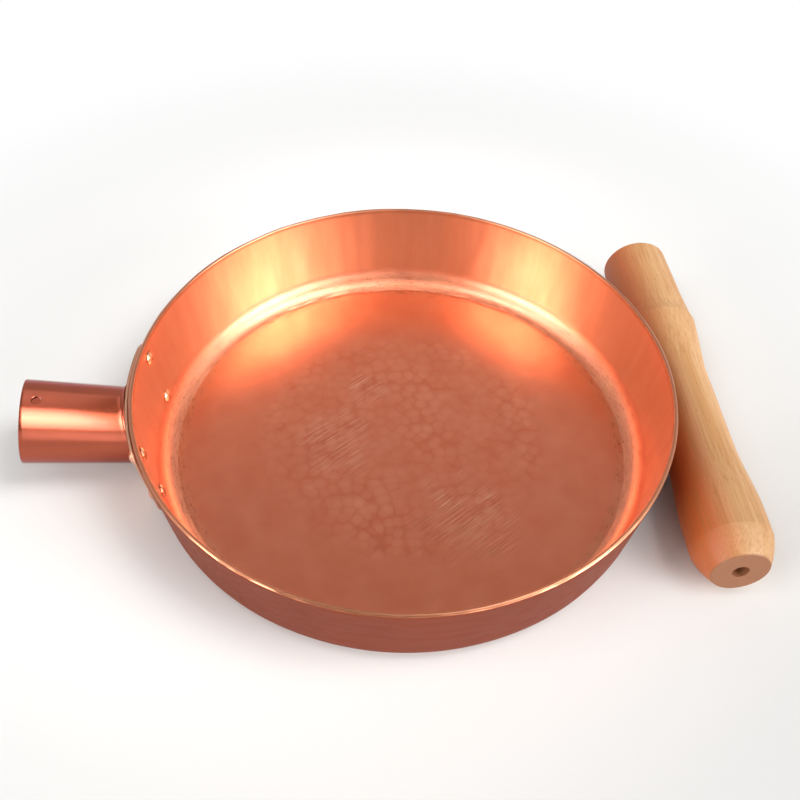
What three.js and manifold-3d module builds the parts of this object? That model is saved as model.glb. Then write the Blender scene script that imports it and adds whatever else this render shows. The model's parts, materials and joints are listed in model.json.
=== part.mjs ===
// A shallow copper frying pan with a riveted socket, and the turned wooden handle that plugs into it.
// The handle is pulled out and lies on the table against the pan's wall.
// Millimetres, +Z up. The origin is the centre of the pan's underside, and the socket points along -X.
import * as THREE from 'three';
import { mergeVertices } from 'three/addons/utils/BufferGeometryUtils.js';
import Module from 'manifold-3d';

// Pan, beaten from one copper sheet
const rimRadius = 120; // outside of the rim
const panHeight = 45; // underside to rim
const sheet = 2; // thickness of the copper
const wallLeanDeg = 9; // the wall's lean outwards from upright
const cornerRadius = 10.6; // outside radius between floor and wall
const rimEase = 0.5; // rounding along the two edges of the rim

// Clearance that is left between pieces that touch
const seatGap = 0.3;

// Socket, a tapered copper tube whose foot is cut to the curve of the plate
const socketLength = 50.5; // pan's wall to mouth, along the tube's axis
const socketRiseDeg = 8.7; // slope of the axis, upwards to the mouth
const socketDrop = 0.7; // axis at the wall, below the middle of the rivet rows
const socketMouthRadius = 18.4; // outside of the mouth
const socketTaper = 0.031; // radius lost for each millimetre from the mouth towards the pan
const socketWall = 1.3;
const mouthEase = 0.3; // rounding of the mouth's edges
const footFillet = 2; // flare where the tube meets the plate
const footLip = 0.6; // thickness of the flare's edge
const fixingHoleRadius = 2; // hole in the upper side for the pin that holds the handle
const fixingHoleSetback = 6.5; // mouth to the middle of that hole
const fixingHoleTurnDeg = 11; // turn from the top of the tube towards the front

// Rivets, two rows of two through wall and plate
const rivetShankRadius = 2;
const rivetHoleClearance = 0.3; // between shank and hole, on the radius
const rivetHeadRadius = 3.3;
const rivetHeadHeight = 1.2; // low dome inside the pan
const rivetTailHeight = 1.6; // fuller dome outside
const rivetRowSpacing = 26; // lower row to upper row
const rivetRowDrop = 2.5; // middle of the rows, below the middle of the wall's straight stretch
const rivetFootClearance = 6.6; // foot of the socket to the rivet heads

// Mounting plate, a curved copper plate on the outside of the wall
const plateThickness = 1.5;
const plateMargin = 0.8; // beyond the socket's foot, above and below
const plateSideMargin = 4.4; // beyond the rivet heads, at each side
const plateCornerRadius = 8;

// Handle, turned in one piece: tapered tenon, shoulder, waist and rounded butt
const tenonFit = 0.2; // clearance to the socket's bore when it is pushed home
const tenonInsert = 32; // length that goes into the socket
const tenonTipEase = 1; // rounding of the tip's edge
const flareLength = 19.5; // mouth of the socket to the shoulder
const shoulderRadius = 18.5;
const neckLength = 30; // shoulder to the waist, a straight cone
const neckBlend = 6; // rounding where that cone meets the waist, to each side
const waistRadius = 15.4;
const waistLength = 48;
const swellLength = 36; // waist to the full radius of the butt
const buttRadius = 17.7;
const buttLength = 11.5; // stretch at the full radius
const buttCurveLength = 13; // length of the rounding down to the end face
const endFaceRadius = 13;
const hangHoleRadius = 3.7; // hole in the end face
const hangHoleDepth = 30;
const drillPointSlope = 0.6; // depth of the drill's point for each millimetre of its radius

// Where the handle lies
const handleTurnDeg = -1; // turn in plan, away from square to the socket
const touchStation = 97.5; // tip of the tenon to the place that touches the pan

// Facets around
const panSegments = 96;
const tubeSegments = 48;
const rivetSegments = 16;
const curveSteps = 4;

// Tolerances of the geometry code
const mergeDistance = 1e-4; // vertices closer than this are one
const footRounds = 12; // rounds of stepping towards the plate

const wallLean = THREE.MathUtils.degToRad(wallLeanDeg);
const socketRise = THREE.MathUtils.degToRad(socketRiseDeg);
const fixingHoleTurn = THREE.MathUtils.degToRad(fixingHoleTurnDeg);
const cornerTop = cornerRadius * (1 - Math.sin(wallLean));
const wallOffset = (outwards) => outwards / Math.cos(wallLean);
const wallRadius = (z) => rimRadius - (panHeight - z) * Math.tan(wallLean);
const floorRadius = wallRadius(cornerTop) - cornerRadius * Math.cos(wallLean);

const rowMiddle = (cornerTop + panHeight) / 2 - rivetRowDrop;
const rowHeights = { lower: rowMiddle - rivetRowSpacing / 2, upper: rowMiddle + rivetRowSpacing / 2 };
const seatHeight = rowMiddle - socketDrop;
const plateFace = seatGap + plateThickness; // wall to the outside of the plate
const socketRootRadius = socketMouthRadius - socketTaper * socketLength;
const footRadius = socketRootRadius + footFillet;
const rivetSpread = footRadius + rivetFootClearance + rivetHeadRadius;

const wasm = await Module();
wasm.setup();

// A closed geometry as a solid, without the empty triangles that a lathe makes on its axis
function toSolid(geometry) {
  const bare = geometry.clone();
  bare.deleteAttribute('normal');
  bare.deleteAttribute('uv');
  const merged = mergeVertices(bare, mergeDistance);
  const corners = merged.index.array;
  const kept = [];
  for (let i = 0; i < corners.length; i += 3) {
    const [a, b, c] = corners.subarray(i, i + 3);
    if (a !== b && b !== c && c !== a) kept.push(a, b, c);
  }
  const vertProperties = new Float32Array(merged.attributes.position.array);
  const triVerts = new Uint32Array(kept);
  return new wasm.Manifold(new wasm.Mesh({ numProp: 3, vertProperties, triVerts }));
}

function toGeometry(solid) {
  const { vertProperties, triVerts } = solid.getMesh();
  const geometry = new THREE.BufferGeometry();
  geometry.setAttribute('position', new THREE.BufferAttribute(vertProperties, 3));
  geometry.setIndex(new THREE.BufferAttribute(triVerts, 1));
  geometry.computeVertexNormals();
  return geometry;
}

// A profile of radius and height, turned about Z
function turned(path, segments) {
  return new THREE.LatheGeometry(path.getPoints(curveSteps), segments).rotateX(Math.PI / 2);
}

// An arc from the axis out to the rim of a domed head
function domeArc(path, height, radius, base, upwards) {
  const sphere = (radius ** 2 + height ** 2) / (2 * height);
  const half = Math.asin(radius / sphere);
  const middle = upwards ? base + height - sphere : base - height + sphere;
  const pole = upwards ? Math.PI / 2 : -Math.PI / 2;
  const edge = upwards ? pole - half : pole + half;
  path.absarc(0, middle, sphere, upwards ? edge : pole, upwards ? pole : edge, false);
}

// Where a rivet stands: its local Z runs out of the wall, with the outside of the wall at 0
function rivetPlace(side, row) {
  const z = rowHeights[row];
  const turn = (side * rivetSpread) / wallRadius(z);
  const lift = new THREE.Matrix4().makeTranslation(-wallRadius(z), 0, z);
  const outwards = new THREE.Matrix4().makeRotationY(-Math.PI / 2 - wallLean);
  return new THREE.Matrix4().makeRotationZ(turn).multiply(lift).multiply(outwards);
}

const rivetSeats = [];
for (const row of Object.keys(rowHeights)) {
  rivetSeats.push({ name: `${row}_rear`, place: rivetPlace(-1, row) });
  rivetSeats.push({ name: `${row}_front`, place: rivetPlace(1, row) });
}

// The holes that the rivets pass through, drilled well past the wall and the plate to each side
function withRivetHoles(solid) {
  const radius = rivetShankRadius + rivetHoleClearance;
  const reach = 2 * (sheet + plateFace);
  const drill = new THREE.CylinderGeometry(radius, radius, 2 * reach, rivetSegments).rotateX(Math.PI / 2);
  let cut = solid;
  for (const seat of rivetSeats) {
    cut = cut.subtract(toSolid(drill.clone().applyMatrix4(seat.place)));
  }
  return cut;
}

function panBody() {
  const inside = cornerRadius - sheet;
  const rimInside = rimRadius - wallOffset(sheet);
  const easeLean = rimEase * Math.tan(wallLean);
  const profile = new THREE.Path();
  profile.moveTo(0, 0);
  profile.lineTo(floorRadius, 0);
  profile.absarc(floorRadius, cornerRadius, cornerRadius, -Math.PI / 2, -wallLean, false);
  profile.lineTo(rimRadius - easeLean, panHeight - rimEase);
  profile.quadraticCurveTo(rimRadius, panHeight, rimRadius - rimEase, panHeight);
  profile.lineTo(rimInside + rimEase, panHeight);
  profile.quadraticCurveTo(rimInside, panHeight, rimInside - easeLean, panHeight - rimEase);
  profile.absarc(floorRadius, cornerRadius, inside, -wallLean, -Math.PI / 2, true);
  profile.lineTo(0, sheet);
  return toGeometry(withRivetHoles(toSolid(turned(profile, panSegments))));
}

// The plate is a piece of a conical ring, cut to a rounded outline seen along X
function mountingPlate() {
  const reach = footRadius / Math.cos(socketRise) + plateMargin;
  const low = seatHeight - reach;
  const high = seatHeight + reach;
  const half = rivetSpread + rivetHeadRadius + plateSideMargin;
  const corner = Math.min(plateCornerRadius, reach, half);
  const ring = new THREE.Path();
  ring.moveTo(wallRadius(low) + wallOffset(seatGap), low);
  ring.lineTo(wallRadius(low) + wallOffset(plateFace), low);
  ring.lineTo(wallRadius(high) + wallOffset(plateFace), high);
  ring.lineTo(wallRadius(high) + wallOffset(seatGap), high);
  ring.closePath();
  const outline = new THREE.Shape();
  outline.absarc(half - corner, high - corner, corner, 0, Math.PI / 2, false);
  outline.absarc(corner - half, high - corner, corner, Math.PI / 2, Math.PI, false);
  outline.absarc(corner - half, low + corner, corner, Math.PI, 1.5 * Math.PI, false);
  outline.absarc(half - corner, low + corner, corner, 1.5 * Math.PI, 2 * Math.PI, false);
  const sweep = { depth: 2 * rimRadius, bevelEnabled: false, curveSegments: curveSteps };
  const cutter = new THREE.ExtrudeGeometry(outline, sweep);
  cutter.rotateX(Math.PI / 2).rotateZ(-Math.PI / 2);
  const plate = toSolid(turned(ring, panSegments)).intersect(toSolid(cutter));
  return toGeometry(withRivetHoles(plate));
}

function rivet() {
  const inner = -sheet - seatGap;
  const outer = plateFace + seatGap;
  const profile = new THREE.Path();
  domeArc(profile, rivetHeadHeight, rivetHeadRadius, inner, false);
  profile.lineTo(rivetShankRadius, inner);
  profile.lineTo(rivetShankRadius, outer);
  profile.lineTo(rivetHeadRadius, outer);
  domeArc(profile, rivetTailHeight, rivetHeadRadius, outer, true);
  return turned(profile, rivetSegments);
}

// The tube is lofted ring by ring, because its foot follows the plate at a slant.
// A point lies at a radius from the tube's axis, at an angle around it, and at a height along it.
function handleSocket() {
  const axis = new THREE.Vector3(-Math.cos(socketRise), 0, Math.sin(socketRise));
  const up = new THREE.Vector3(Math.sin(socketRise), 0, Math.cos(socketRise));
  const across = new THREE.Vector3(0, 1, 0);
  const root = new THREE.Vector3(-wallRadius(seatHeight), 0, seatHeight);
  const standOff = wallOffset(plateFace + seatGap);
  const point = (radius, angle, along) =>
    root.clone().addScaledVector(across, radius * Math.cos(angle))
      .addScaledVector(up, radius * Math.sin(angle)).addScaledVector(axis, along);

  // Height at which a line along the tube meets the plate, by stepping until the distance is nothing
  function footHeight(radius, angle) {
    let along = 0;
    for (let step = 0; step < footRounds; step += 1) {
      const p = point(radius, angle, along);
      along += wallRadius(p.z) + standOff - Math.hypot(p.x, p.y);
    }
    return along;
  }

  const outside = (along) => socketMouthRadius - socketTaper * (socketLength - along);
  const rings = [];
  const addRing = (radius, along) => rings.push({ radius, along });
  const rootBore = socketRootRadius - socketWall;
  addRing(rootBore, (angle) => footHeight(rootBore, angle));
  addRing(footRadius, (angle) => footHeight(footRadius, angle));
  for (let step = 0; step <= curveSteps; step += 1) {
    const bend = (step / curveSteps) * (Math.PI / 2);
    const radius = footRadius - footFillet * Math.sin(bend);
    const rise = footLip + footFillet * (1 - Math.cos(bend));
    addRing(radius, (angle) => footHeight(radius, angle) + rise);
  }
  addRing(outside(socketLength - mouthEase), () => socketLength - mouthEase);
  addRing(socketMouthRadius - mouthEase, () => socketLength);
  addRing(socketMouthRadius - socketWall + mouthEase, () => socketLength);
  addRing(outside(socketLength - mouthEase) - socketWall, () => socketLength - mouthEase);

  const positions = [];
  const index = [];
  rings.forEach(({ radius, along }, ring) => {
    const next = (ring + 1) % rings.length;
    for (let side = 0; side < tubeSegments; side += 1) {
      const angle = (side / tubeSegments) * 2 * Math.PI;
      positions.push(...point(radius, angle, along(angle)).toArray());
      const beside = (side + 1) % tubeSegments;
      const [a, b] = [ring * tubeSegments + side, ring * tubeSegments + beside];
      const [c, d] = [next * tubeSegments + side, next * tubeSegments + beside];
      index.push(a, c, b, b, c, d);
    }
  });
  const tube = new THREE.BufferGeometry();
  tube.setAttribute('position', new THREE.Float32BufferAttribute(positions, 3));
  tube.setIndex(index);

  const holeTop = 2 * socketMouthRadius;
  const drill = new THREE.CylinderGeometry(fixingHoleRadius, fixingHoleRadius, holeTop, rivetSegments);
  drill.rotateX(Math.PI / 2).translate(0, 0, holeTop / 2).rotateX(fixingHoleTurn).rotateY(socketRise);
  drill.translate(...point(0, 0, socketLength - fixingHoleSetback).toArray());
  return toGeometry(toSolid(tube).subtract(toSolid(drill)));
}

// Stations along the handle, from the tip of the tenon
const shoulderStation = tenonInsert + flareLength;
const waistStation = shoulderStation + neckLength;
const swellStation = waistStation + waistLength;
const buttStation = swellStation + swellLength;
const curveStation = buttStation + buttLength;
const handleLength = curveStation + buttCurveLength;

function woodenHandle() {
  const seatRadius = socketMouthRadius - socketWall - tenonFit;
  const tipRadius = seatRadius - socketTaper * tenonInsert;
  const drop = buttRadius - endFaceRadius;
  const buttArc = (buttCurveLength ** 2 + drop ** 2) / (2 * drop);
  const buttSweep = Math.asin(buttCurveLength / buttArc);
  const neckSlope = (shoulderRadius - waistRadius) / neckLength;
  const swellEase = swellLength / 2;
  const flareEase = flareLength / 2;
  const profile = new THREE.Path();
  profile.moveTo(0, 0);
  profile.lineTo(tipRadius - tenonTipEase, 0);
  profile.quadraticCurveTo(tipRadius, 0, tipRadius + socketTaper * tenonTipEase, tenonTipEase);
  profile.lineTo(seatRadius, tenonInsert);
  profile.quadraticCurveTo(
    seatRadius + socketTaper * flareEase, tenonInsert + flareEase, shoulderRadius, shoulderStation);
  profile.lineTo(waistRadius + neckSlope * neckBlend, waistStation - neckBlend);
  profile.quadraticCurveTo(waistRadius, waistStation, waistRadius, waistStation + neckBlend);
  profile.lineTo(waistRadius, swellStation);
  profile.bezierCurveTo(
    waistRadius, swellStation + swellEase, buttRadius, buttStation - swellEase, buttRadius, buttStation);
  profile.lineTo(buttRadius, curveStation);
  profile.absarc(buttRadius - buttArc, curveStation, buttArc, 0, buttSweep, false);
  profile.lineTo(hangHoleRadius, handleLength);
  profile.lineTo(hangHoleRadius, handleLength - hangHoleDepth);
  profile.lineTo(0, handleLength - hangHoleDepth - hangHoleRadius * drillPointSlope);
  return new THREE.LatheGeometry(profile.getPoints(curveSteps), tubeSegments);
}

function copper(name, geometry, shade, roughness) {
  const material = new THREE.MeshStandardMaterial({ color: shade, metalness: 1, roughness });
  const mesh = new THREE.Mesh(geometry, material);
  mesh.name = name;
  return mesh;
}

const pan = new THREE.Group();
pan.add(copper('pan_body', panBody(), 0xd9855f, 0.32));
pan.add(copper('mounting_plate', mountingPlate(), 0xc06a4a, 0.35));
pan.add(copper('handle_socket', handleSocket(), 0xc97a5a, 0.3));
for (const seat of rivetSeats) {
  const mesh = copper(`rivet_${seat.name}`, rivet(), 0xe09a74, 0.25);
  mesh.applyMatrix4(seat.place);
  pan.add(mesh);
}

// The handle rests on the ring of its shoulder and the ring of its butt
const pitch = Math.atan2(shoulderRadius - buttRadius, curveStation - shoulderStation);
const touchHeight = shoulderRadius * Math.cos(pitch) - (touchStation - shoulderStation) * Math.sin(pitch);
const handle = new THREE.Mesh(
  woodenHandle().rotateZ(Math.PI).translate(0, touchStation, 0),
  new THREE.MeshStandardMaterial({ color: 0xdcae7c, metalness: 0, roughness: 0.6 }),
);
handle.name = 'wooden_handle';
handle.position.set(wallRadius(touchHeight) + wallOffset(waistRadius + seatGap), 0, touchHeight);
handle.rotation.x = pitch;
const table = new THREE.Group();
table.rotation.z = THREE.MathUtils.degToRad(handleTurnDeg);
table.add(handle);

const fryingPan = new THREE.Group();
fryingPan.add(pan, table);

export default fryingPan;
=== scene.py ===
import json
import math

import bmesh
import bpy
from mathutils import Matrix, Vector, noise

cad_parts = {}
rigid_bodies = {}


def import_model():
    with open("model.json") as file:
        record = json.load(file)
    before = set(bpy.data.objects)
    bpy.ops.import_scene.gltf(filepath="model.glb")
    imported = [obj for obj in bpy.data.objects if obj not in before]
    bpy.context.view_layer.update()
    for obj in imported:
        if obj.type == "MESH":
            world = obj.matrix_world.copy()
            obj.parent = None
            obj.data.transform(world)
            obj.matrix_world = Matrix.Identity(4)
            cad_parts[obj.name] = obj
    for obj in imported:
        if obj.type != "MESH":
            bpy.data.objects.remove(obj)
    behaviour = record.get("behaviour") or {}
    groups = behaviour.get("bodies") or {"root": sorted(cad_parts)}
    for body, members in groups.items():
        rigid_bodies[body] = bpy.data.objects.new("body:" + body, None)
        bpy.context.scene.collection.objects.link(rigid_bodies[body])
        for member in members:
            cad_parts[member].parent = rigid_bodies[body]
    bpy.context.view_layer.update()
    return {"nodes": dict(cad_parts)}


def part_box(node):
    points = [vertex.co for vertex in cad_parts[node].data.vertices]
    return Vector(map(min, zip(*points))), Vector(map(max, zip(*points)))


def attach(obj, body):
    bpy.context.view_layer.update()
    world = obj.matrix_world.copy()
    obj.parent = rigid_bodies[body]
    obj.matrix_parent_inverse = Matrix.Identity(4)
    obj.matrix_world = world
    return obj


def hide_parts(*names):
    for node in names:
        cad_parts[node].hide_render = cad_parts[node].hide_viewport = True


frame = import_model()
mm = 0.001
weld = 0.001  # millimetres; points closer than this are one
near = 0.1  # millimetres; close enough to lie on a surface
print("frame loaded:", len(frame["nodes"]), "nodes")


# Small tools
def toLinear(hexCode):
    parts = [int(hexCode[i:i + 2], 16) / 255 for i in (1, 3, 5)]
    return [c / 12.92 if c <= 0.04045 else ((c + 0.055) / 1.055) ** 2.4 for c in parts] + [1.0]


def perSize(*sizes):  # pattern scales from sizes in millimetres
    return [1 / (size * mm) for size in sizes]


def addNode(tree, kind, inputs=None, **settings):
    node = tree.nodes.new(kind)
    for key, value in settings.items():
        setattr(node, key, value)
    for key, value in (inputs or {}).items():
        if isinstance(value, bpy.types.NodeSocket):
            tree.links.new(value, node.inputs[key])
        else:
            node.inputs[key].default_value = value
    return node


def newMaterial(name):
    material = bpy.data.materials.new(name)
    material.use_nodes = True
    material.node_tree.nodes.clear()
    return material, material.node_tree


def drawProfile(points):  # a wire of radius and height, in millimetres, ready to spin
    bm = bmesh.new()
    verts = [bm.verts.new((r, 0, z)) for r, z in points]
    for start, end in zip(verts, verts[1:]):
        bm.edges.new((start, end))
    return bm, verts


def roundCorner(bm, vert, radius, segments):
    along = [(edge.other_vert(vert).co - vert.co).normalized() for edge in vert.link_edges]
    turn = math.pi - along[0].angle(along[1])
    bmesh.ops.bevel(bm, geom=[vert], offset=radius * math.tan(turn / 2), offset_type="OFFSET",
                    affect="VERTICES", segments=segments, profile=0.5, material=-1)


def splitEdges(bm, spacingAt):  # spacingAt gives the longest step wanted at an edge's middle
    for edge in bm.edges[:]:
        middle = (edge.verts[0].co + edge.verts[1].co) / 2
        cuts = int(edge.calc_length() / spacingAt(middle.x, middle.z))
        if cuts:
            bmesh.ops.subdivide_edges(bm, edges=[edge], cuts=cuts)


def closeMesh(bm):
    bmesh.ops.remove_doubles(bm, verts=bm.verts[:], dist=weld)
    bmesh.ops.recalc_face_normals(bm, faces=bm.faces[:])
    bm.normal_update()


def spinProfile(bm, steps):
    bmesh.ops.spin(bm, geom=bm.verts[:] + bm.edges[:], cent=(0, 0, 0), axis=(0, 0, 1),
                   angle=2 * math.pi, steps=steps, use_merge=True)
    closeMesh(bm)


def addObject(name, bm, scale=1.0):
    bm.transform(Matrix.Scale(scale, 4))
    mesh = bpy.data.meshes.new(name)
    bm.to_mesh(mesh)
    bm.free()
    added = bpy.data.objects.new(name, mesh)
    bpy.context.scene.collection.objects.link(added)
    return added


def addPiece(name, bm, material, body, slot, *nodes):  # millimetres become metres here
    piece = addObject(name, bm, mm)
    piece.data.shade_smooth()
    piece.data.materials.append(material)
    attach(piece, body)
    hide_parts(*nodes)
    print("piece", name, len(piece.data.polygons), "faces")
    return piece


def setShare(mesh, name, shares):
    layer = mesh.attributes.new(name, "FLOAT", "POINT")
    layer.data.foreach_set("value", shares)


def smoothStep(low, high, value):
    t = min(1, max(0, (value - low) / (high - low)))
    return t * t * (3 - 2 * t)


# The noises that the finishes share, from soft to rough
noiseMiddle = 0.5
noiseLow, noiseHigh = 0.3, 0.7  # most of a noise lies between these
softNoise = {"Detail": 2.0, "Roughness": 0.5}
fullNoise = {"Detail": 3.0, "Roughness": 0.5}
grittyNoise = {"Detail": 2.0, "Roughness": 0.6}
roughNoise = {"Detail": 3.0, "Roughness": 0.6}
fleckNoise = {"Detail": 1.0, "Roughness": 0.5}
poreNoise = {"Detail": 4.0, "Roughness": 0.7}


# The wall that plate, socket and rivets sit on
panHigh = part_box("pan_body")[1]
wall = {
    "rimRadius": panHigh.x / mm,
    "height": panHigh.z / mm,
    "lean": math.radians(9),  # outwards from upright
    "sheet": 2.0,
    "corner": 10.6,  # outside radius between floor and wall
    "gap": 0.3,  # between pieces that touch
    "plate": 1.5,  # thickness of the mounting plate
}
wall["cornerTop"] = wall["corner"] * (1 - math.sin(wall["lean"]))


def wallRadius(z, outwards=0.0):
    drop = (wall["height"] - z) * math.tan(wall["lean"])
    return wall["rimRadius"] - drop + outwards / math.cos(wall["lean"])


def wallFrame(angle, z):  # on the outside of the wall, local Z straight out of it
    out = Vector((math.cos(angle), math.sin(angle), 0)) * math.cos(wall["lean"])
    out.z = -math.sin(wall["lean"])
    along = Vector((-math.sin(angle), math.cos(angle), 0))
    turn = Matrix((along, out.cross(along), out)).transposed().to_4x4()
    return Matrix.Translation((wallRadius(z) * math.cos(angle), wallRadius(z) * math.sin(angle), z)) @ turn


# Spun copper sheet, planished by hand: satin, with soft hammer marks in the middle of the floor, a few
# patches of brush scratches, a rougher, scored corner and a browner rim. A thin lacquer whitens what the
# lamps strike.
copperLooks = {
    "floorPale": "#F69C76", "floorDeep": "#E2724A",
    "wallPale": "#F3C49E", "wallDeep": "#E29C70",
    "bandPale": "#EA9870", "bandDeep": "#D2704A", "rim": "#BE744E",
    "score": "#AC4A24", "scratchPale": "#FFC0A0", "scratchDeep": "#C06A4C", "edgeTint": "#F8D4C2",
    "tarnishMm": 15, "tarnish": 0.7, "streakWide": 7, "streakTall": 70,
    "markMm": 5.0, "markEven": 0.95, "markDeep": 0.03,
    "markIn": 0.25, "markOut": 0.7,  # from a mark's middle, in marks: where its edge begins and ends
    "markEdge": 0.4, "plain": 0.76,  # how much of a mark's tone is its dark edge, and the tone with no marks
    "brushTurn": math.radians(35), "brushLong": 17, "brushDeep": 0.04,
    "brushWide": 0.42,  # drawn wider than the real 0.1, so that it shows
    "paleFrom": 0.53, "paleTo": 0.68, "paleMost": 0.6,  # the part of the brush noise that is a pale scratch
    "darkFrom": 0.46, "darkTo": 0.32, "darkMost": 0.5,  # and a dark one
    "grainMm": 0.9, "grainDeep": 0.09,
    "scoreLong": 4, "scoreWide": 0.8, "scoreDeep": 0.02,  # lines round the corner, drawn wide enough to show
    "scoreFrom": 0.51, "scoreTo": 0.65,
    "gapFrom": 0.4, "gapTo": 0.58, "gapLeast": 0.1, "gapMost": 0.75,  # the grain breaks these lines up
    "floorRough": 0.31, "wallRough": 0.31, "bandRough": 0.38, "roughSpread": 0.05,
    "metallic": 0.96,  # a thin haze of oxide scatters the rest
    "lacquer": 1.0, "lacquerRough": 0.3,
}
finishShares = ("brushShare", "bandShare", "wallShare", "markShare", "rimShare", "scoreShare")


def hammeredCopper():
    look = copperLooks
    material, tree = newMaterial("hammered copper")
    coords = addNode(tree, "ShaderNodeTexCoord").outputs["Object"]
    share = {}
    for name in finishShares:
        share[name] = addNode(tree, "ShaderNodeAttribute", attribute_name=name).outputs["Fac"]
    # slow change of tone over the sheet, and one tone for each hammer mark
    tarnish = addNode(tree, "ShaderNodeTexNoise", {
        "Vector": coords, "Scale": 1 / (look["tarnishMm"] * mm), **roughNoise})
    marks = addNode(tree, "ShaderNodeTexVoronoi", {
        "Vector": coords, "Scale": 1 / (look["markMm"] * mm), "Randomness": look["markEven"]},
        voronoi_dimensions="2D")
    edges = addNode(tree, "ShaderNodeMapRange", {
        "Value": marks.outputs["Distance"], "From Min": look["markIn"], "From Max": look["markOut"]},
        interpolation_type="SMOOTHSTEP")
    markTone = addNode(tree, "ShaderNodeMix", {
        0: look["markEdge"], 2: marks.outputs["Color"], 3: edges.outputs["Result"]})
    markAway = addNode(tree, "ShaderNodeMath", {
        0: markTone.outputs[0], 1: noiseMiddle}, operation="SUBTRACT")
    floorMarks = addNode(tree, "ShaderNodeMath", {
        0: markAway.outputs["Value"], 1: share["markShare"], 2: look["plain"]}, operation="MULTIPLY_ADD")
    tarnishAway = addNode(tree, "ShaderNodeMath", {
        0: tarnish.outputs["Fac"], 1: noiseMiddle}, operation="SUBTRACT")
    floorTone = addNode(tree, "ShaderNodeMath", {
        0: tarnishAway.outputs["Value"], 1: look["tarnish"], 2: floorMarks.outputs["Value"]},
        operation="MULTIPLY_ADD")
    upright = addNode(tree, "ShaderNodeMapping", {
        "Vector": coords, "Scale": perSize(look["streakWide"], look["streakWide"], look["streakTall"])})
    streaks = addNode(tree, "ShaderNodeTexNoise", {
        "Vector": upright.outputs["Vector"], "Scale": 1.0, **roughNoise})
    tones = {}
    for place, source in (("floor", floorTone.outputs["Value"]), ("wall", streaks.outputs["Fac"]),
                          ("band", tarnish.outputs["Fac"])):
        tones[place] = addNode(tree, "ShaderNodeMix", {
            0: source, 6: toLinear(look[place + "Pale"]), 7: toLinear(look[place + "Deep"])},
            data_type="RGBA").outputs[2]
    # brush scratches, all one way, pale and dark side by side
    turned = addNode(tree, "ShaderNodeMapping", {
        "Vector": coords, "Rotation": (0, 0, -look["brushTurn"])})
    stretched = addNode(tree, "ShaderNodeMapping", {
        "Vector": turned.outputs["Vector"],
        "Scale": perSize(look["brushLong"], look["brushWide"], look["brushLong"])})
    brush = addNode(tree, "ShaderNodeTexNoise", {
        "Vector": stretched.outputs["Vector"], "Scale": 1.0, **softNoise})
    scratches = {}
    for tone in ("pale", "dark"):
        lines = addNode(tree, "ShaderNodeMapRange", {
            "Value": brush.outputs["Fac"], "From Min": look[tone + "From"], "From Max": look[tone + "To"],
            "To Max": look[tone + "Most"]})
        scratches[tone] = addNode(tree, "ShaderNodeMath", {
            0: lines.outputs["Result"], 1: share["brushShare"]}, operation="MULTIPLY").outputs["Value"]
    # fine grain and broken rings, on the beaten corner
    grain = addNode(tree, "ShaderNodeTexNoise", {
        "Vector": coords, "Scale": 1 / (look["grainMm"] * mm), **grittyNoise})
    ringPlace = addNode(tree, "ShaderNodeAttribute", attribute_name="ringPlace").outputs["Vector"]
    ringSpace = addNode(tree, "ShaderNodeMapping", {
        "Vector": ringPlace, "Scale": perSize(look["scoreLong"], look["scoreLong"], look["scoreWide"])})
    scores = addNode(tree, "ShaderNodeTexNoise", {
        "Vector": ringSpace.outputs["Vector"], "Scale": 1.0, **grittyNoise})
    scoreMask = addNode(tree, "ShaderNodeMapRange", {
        "Value": scores.outputs["Fac"], "From Min": look["scoreFrom"], "From Max": look["scoreTo"]})
    gaps = addNode(tree, "ShaderNodeMapRange", {
        "Value": grain.outputs["Fac"], "From Min": look["gapFrom"], "From Max": look["gapTo"],
        "To Min": look["gapLeast"], "To Max": look["gapMost"]})
    broken = addNode(tree, "ShaderNodeMath", {
        0: gaps.outputs["Result"], 1: scoreMask.outputs["Result"]}, operation="MULTIPLY")
    rings = addNode(tree, "ShaderNodeMath", {
        0: broken.outputs["Value"], 1: share["scoreShare"]}, operation="MULTIPLY")
    colour = addNode(tree, "ShaderNodeMix", {
        0: share["wallShare"], 6: tones["floor"], 7: tones["wall"]}, data_type="RGBA")
    for amount, over in ((share["bandShare"], tones["band"]),
                         (scratches["pale"], toLinear(look["scratchPale"])),
                         (scratches["dark"], toLinear(look["scratchDeep"])),
                         (rings.outputs["Value"], toLinear(look["score"])),
                         (share["rimShare"], toLinear(look["rim"]))):
        colour = addNode(tree, "ShaderNodeMix", {0: amount, 6: colour.outputs[2], 7: over}, data_type="RGBA")
    plainRough = addNode(tree, "ShaderNodeMix", {
        0: share["wallShare"], 2: look["floorRough"], 3: look["wallRough"]})
    baseRough = addNode(tree, "ShaderNodeMix", {
        0: share["bandShare"], 2: plainRough.outputs[0], 3: look["bandRough"]})
    roughSpread = addNode(tree, "ShaderNodeMapRange", {
        "Value": streaks.outputs["Fac"], "From Min": noiseLow, "From Max": noiseHigh,
        "To Min": -look["roughSpread"] / 2, "To Max": look["roughSpread"] / 2})
    roughness = addNode(tree, "ShaderNodeMath", {0: baseRough.outputs[0], 1: roughSpread.outputs["Result"]})
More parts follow.
